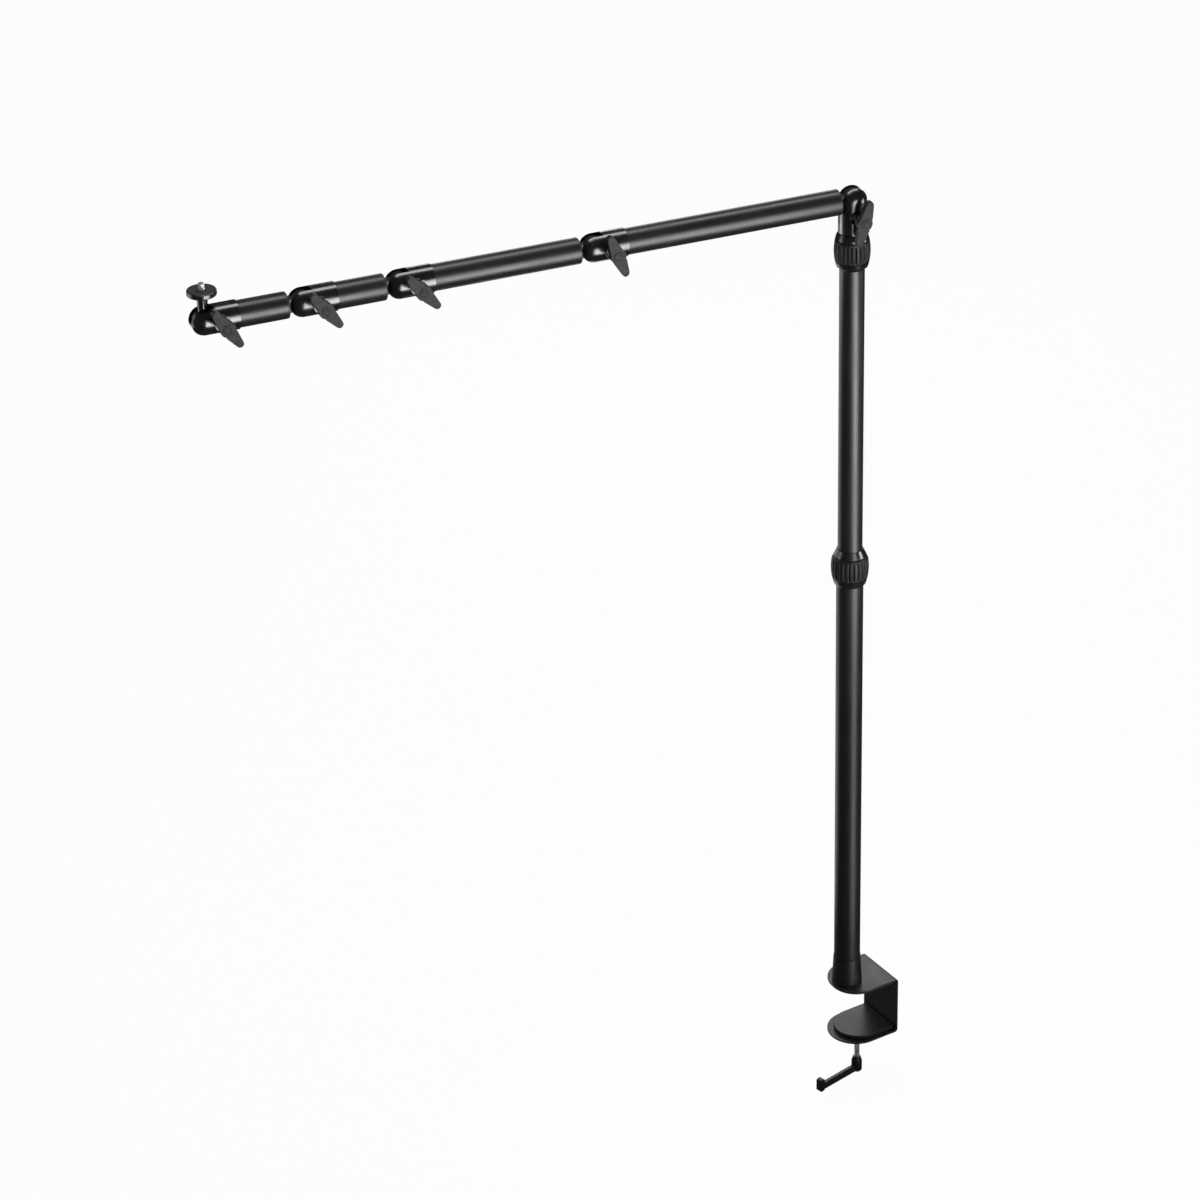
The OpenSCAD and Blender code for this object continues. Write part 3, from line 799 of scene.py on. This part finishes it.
def thread(centre, low, high, crest_r, pitch, tip):
    shape = bmesh.new()
    lines = sweep(shape, centre, low, high, crest_r, pitch, tip)
    for step, (line, after) in enumerate(zip(lines, lines[1:])):
        for i in range(len(line) - 1):
            shape.faces.new((line[i], after[i], after[i + 1], line[i + 1]))
        if step + 1 + THREAD_STEPS < len(lines):
            up, up_after = lines[step + THREAD_STEPS], lines[step + 1 + THREAD_STEPS]
            shape.faces.new((line[-1], after[-1], up_after[0], up[0]))
    cut_flat(shape, low, -1)
    cut_flat(shape, high, 1)
    return shape


print("thread maker ready")

# %% [markdown]
# ### The camera stud
# The stud is the screw that cameras are made for: a quarter of an inch across, with twenty turns
# to the inch. Its foot is a plain shank in the platform. The thread starts just over the pad and
# its tip is chamfered, so that it finds the camera's socket. The thread could run on into the
# platform, but nobody would see it there, so the shank is turned like a plain pin.

# %% Camera stud
TURNED_STEPS = 48
THREAD_CREASE = 25
STUD_PITCH, STUD_TIP = 1.27, 0.9
SHANK_R, SHANK_END_R, SHANK_ROUND = 2.95, 2.6, 0.4
SHANK_OUT, THREAD_OUT = 0.2, 0.4

pad_top = heights("platform_pad")[1]
stud_low, stud_high = heights("stud")
thread_low = pad_top + THREAD_OUT
stud = thread(axis("stud"), thread_low, stud_high, half_width("stud"), STUD_PITCH, STUD_TIP)
piece("stud_thread", stud, "camera_head", "bright_steel", "stud", THREAD_CREASE)
shank = [(SHANK_END_R, stud_low), (SHANK_R, stud_low + SHANK_ROUND),
         (SHANK_R, pad_top + SHANK_OUT), (SHANK_END_R, thread_low)]
shape = skin(turned(shank, TURNED_STEPS, axis("stud")))
piece("stud_shank", shape, "camera_head", "bright_steel")

# %% [markdown]
# ### The clamp screw
# The clamp screw has a finer thread, and a flat turned head that swivels in the pressure plate.
# Head and thread could be one skin, but the head is round and the thread is a helix, so they are
# two pieces that meet at the neck.

# %% Clamp screw
SCREW_R, SCREW_PITCH, SCREW_TIP = 2.98, 1.0, 0.5
HEAD_TALL, HEAD_NECK_R, HEAD_ROUND, HEAD_SLANT = 1.6, 2.6, 0.3, 0.15

screw_low, screw_high = heights("clamp_screw")
neck = screw_high - HEAD_TALL
screw = thread(axis("clamp_screw"), screw_low, neck, SCREW_R, SCREW_PITCH, SCREW_TIP)
piece("screw_thread", screw, "screw", "bright_steel", "clamp_screw", THREAD_CREASE)
head_r = half_width("clamp_screw")
head = [(HEAD_NECK_R, neck), (head_r - HEAD_ROUND, neck + HEAD_SLANT),
        (head_r, neck + HEAD_SLANT + HEAD_ROUND), (head_r, screw_high - HEAD_ROUND),
        (head_r - HEAD_ROUND, screw_high)]
shape = skin(turned(head, TURNED_STEPS, axis("clamp_screw")))
piece("screw_head", shape, "screw", "bright_steel")

# %% [markdown]
# ## Outline of a wing lever
# Each joint is locked by a wing lever: a flat moulded bar that tapers from a round hub to both
# tips. Seen from the front it is three circles and four straight lines, each from the hub to a
# tip. A curve could be drawn freehand, but the circles give the outline with four sizes.

# %% Outline of a wing lever
LEVER_LONG, LEVER_TIP_R, LEVER_ROOT, HUB_R = 47.0, 3.6, 11.6, 7.7
TIP_STEPS, HUB_STEPS = 16, 12


def arc(centre_x, radius, first, last, steps):
    angles = [first + (last - first) * i / steps for i in range(steps + 1)]
    return [(centre_x + radius * math.cos(a), radius * math.sin(a)) for a in angles]


def lever_outline():
    tip_x = LEVER_LONG / 2 - LEVER_TIP_R
    tilt = math.asin((LEVER_ROOT / 2 - LEVER_TIP_R) / tip_x)
    meet = math.acos(LEVER_ROOT / 2 / HUB_R) + tilt
    quarter = math.pi / 2
    half = arc(tip_x, LEVER_TIP_R, quarter - tilt, tilt - quarter, TIP_STEPS)
    half += arc(0.0, HUB_R, meet - quarter, -meet - quarter, HUB_STEPS)
    return half + [(-x, -y) for x, y in half]


print("lever outline with", len(lever_outline()), "points")

# %% [markdown]
# ### Bar of a wing lever
# The outline is thickened into a bar, and its rims are rounded as the edges of a mould would be. A
# Bevel modifier would round them too, but then every lever would carry one, so the Bevel operator
# does it once in the mesh.

# %% Bar of a wing lever
LEVER_THICK, LEVER_STAND = 6.4, 27.2
RIM_ROUND, RIM_STEPS, RIM_SHAPE = 1.1, 4, 0.5
bar_low, bar_high = LEVER_STAND - LEVER_THICK / 2, LEVER_STAND + LEVER_THICK / 2


def bar():
    shape = bmesh.new()
    low, high = [[shape.verts.new((x * MM, y * MM, z * MM)) for x, y in lever_outline()]
                 for z in (bar_low, bar_high)]
    for i in range(len(low)):
        shape.faces.new((low[i - 1], low[i], high[i], high[i - 1]))
    rims = [shape.faces.new(reversed(low)), shape.faces.new(high)]
    edges = [edge for face in rims for edge in face.edges]
    rounding = {"offset": RIM_ROUND * MM, "segments": RIM_STEPS, "profile": RIM_SHAPE}
    bmesh.ops.bevel(shape, geom=edges, affect="EDGES", **rounding)
    return shape


print("bar from", bar_low, "to", bar_high, "mm along its bolt")

# %% [markdown]
# ## Five wing levers
# The bar sits on a glossy black boss that stands in the seat of the clevis, and a small cap closes
# its hub. Both are turned pieces. The joint in the frame says where the bolt is and which way it
# points, so each lever is made flat and then stood on that axis. Copies of one mesh would be
# lighter, but each lever rides on its own joint and stands at its own angle.

# %% Five wing levers
LEVER_TURNS = (106, 69, 50, 53, 57)
SEAT, BOSS_BASE_R, BOSS_TOP_R, BOSS_STEPS = 12.9, 5.8, 7.5, 64
CAP_R = 4.9
boss = [(BOSS_BASE_R - 0.4, SEAT), (BOSS_BASE_R, SEAT + 0.4), (BOSS_TOP_R - 0.5, bar_low - 1.6),
        (BOSS_TOP_R - 0.1, bar_low - 1.1), (BOSS_TOP_R, bar_low - 0.7),
        (BOSS_TOP_R - 0.2, bar_low - 0.2), (BOSS_TOP_R - 0.6, bar_low + 0.05)]
cap = [(CAP_R, bar_high - 0.3), (CAP_R, bar_high + 0.35), (CAP_R - 0.15, bar_high + 0.6),
       (CAP_R - 0.5, bar_high + 0.75), (CAP_R - 1.5, bar_high + 0.8),
       (CAP_R - 1.8, bar_high + 0.6)]

for k, turn in enumerate(LEVER_TURNS, 1):
    joint = joints[f"wing_{k}_turn"]
    stand = (
        Matrix.Translation(joint["pos_m"])
        @ Matrix.Rotation(BOOM_YAW, 4, "Z")
        @ Matrix.Rotation(math.radians(-turn), 4, "Y")
        @ Matrix.Rotation(-math.pi / 2, 4, "X")
    )
    made = {
        f"lever_{k}_bar": (bar(), "wing_plastic", f"lever_{k}"),
        f"lever_{k}_boss": (skin(turned(boss, BOSS_STEPS)), "gloss_black", None),
        f"lever_{k}_cap": (skin(turned(cap, TURNED_STEPS)), "wing_plastic", None),
    }
    for name, (shape, slot, node) in made.items():
        bmesh.ops.transform(shape, matrix=stand, verts=shape.verts)
        piece(name, shape, f"wing_{k}", slot, node)

# %% [markdown]
# ## Soft edges
# A cast crank, a bent plate or a bolt has no knife edges: paint and tumbling round them, and the
# rounded edge catches a thin line of light. The solids have sharp ones. The mesh of a solid may
# not change, but modifiers may sit on it: Weld joins the split corners, Decimate melts the flat
# triangles into whole faces, and Bevel then has clean edges to round. It is left off the clevises,
# whose balls and barrels are curved all over: there Bevel would need clean quads, and the long
# thin triangles of a solid give streaks.

# %% Soft edges
SPLIT_GAP = 1e-6
FLAT_ANGLE = math.radians(0.5)
EDGE_ANGLE = math.radians(40)
EDGE_STEPS = 3
BOLTS = [f"bolt_{k}" for k in range(1, len(LEVER_TURNS) + 1)]
SOFT = {
    1.8: ["crank_handle"],
    0.35: ["clamp_bracket", "pressure_plate", "clamp_nut", *BOLTS],
}

for wide, names in SOFT.items():
    for name in names:
        solid = nodes[name]
        weld = solid.modifiers.new("weld", "WELD")
        weld.merge_threshold = SPLIT_GAP
        melt = solid.modifiers.new("melt", "DECIMATE")
        melt.decimate_type = "DISSOLVE"
        melt.angle_limit = FLAT_ANGLE
        edge = solid.modifiers.new("edge", "BEVEL")
        edge.width = wide * MM
        edge.segments = EDGE_STEPS
        edge.limit_method = "ANGLE"
        edge.angle_limit = EDGE_ANGLE
        edge.harden_normals = True
    print("rounded", len(names), "solids by", wide, "mm")

# %% [markdown]
# ## Dressing the solids
# Each solid already says in the record what it is made of, so one loop can hand out the finishes.
# Two kinds need more than the record tells: boom tubes take the copy of the anodise whose lines
# run along the boom, and the plugs in their ends are moulded in black. A material set by hand on
# each piece would look the same, but a new piece would then come out bare.

# %% Dress the solids
OWN_FINISH = {"tube_": "black_anodise_boom", "plug_": "end_plug"}

for part in frame["record"]["subparts"]:
    slot = part["material_slot"]
    for prefix, own in OWN_FINISH.items():
        if part["node"].startswith(prefix):
            slot = own
    mesh = nodes[part["node"]].data
    mesh.materials.clear()
    mesh.materials.append(finishes[slot])
print("dressed", len(nodes), "solids")
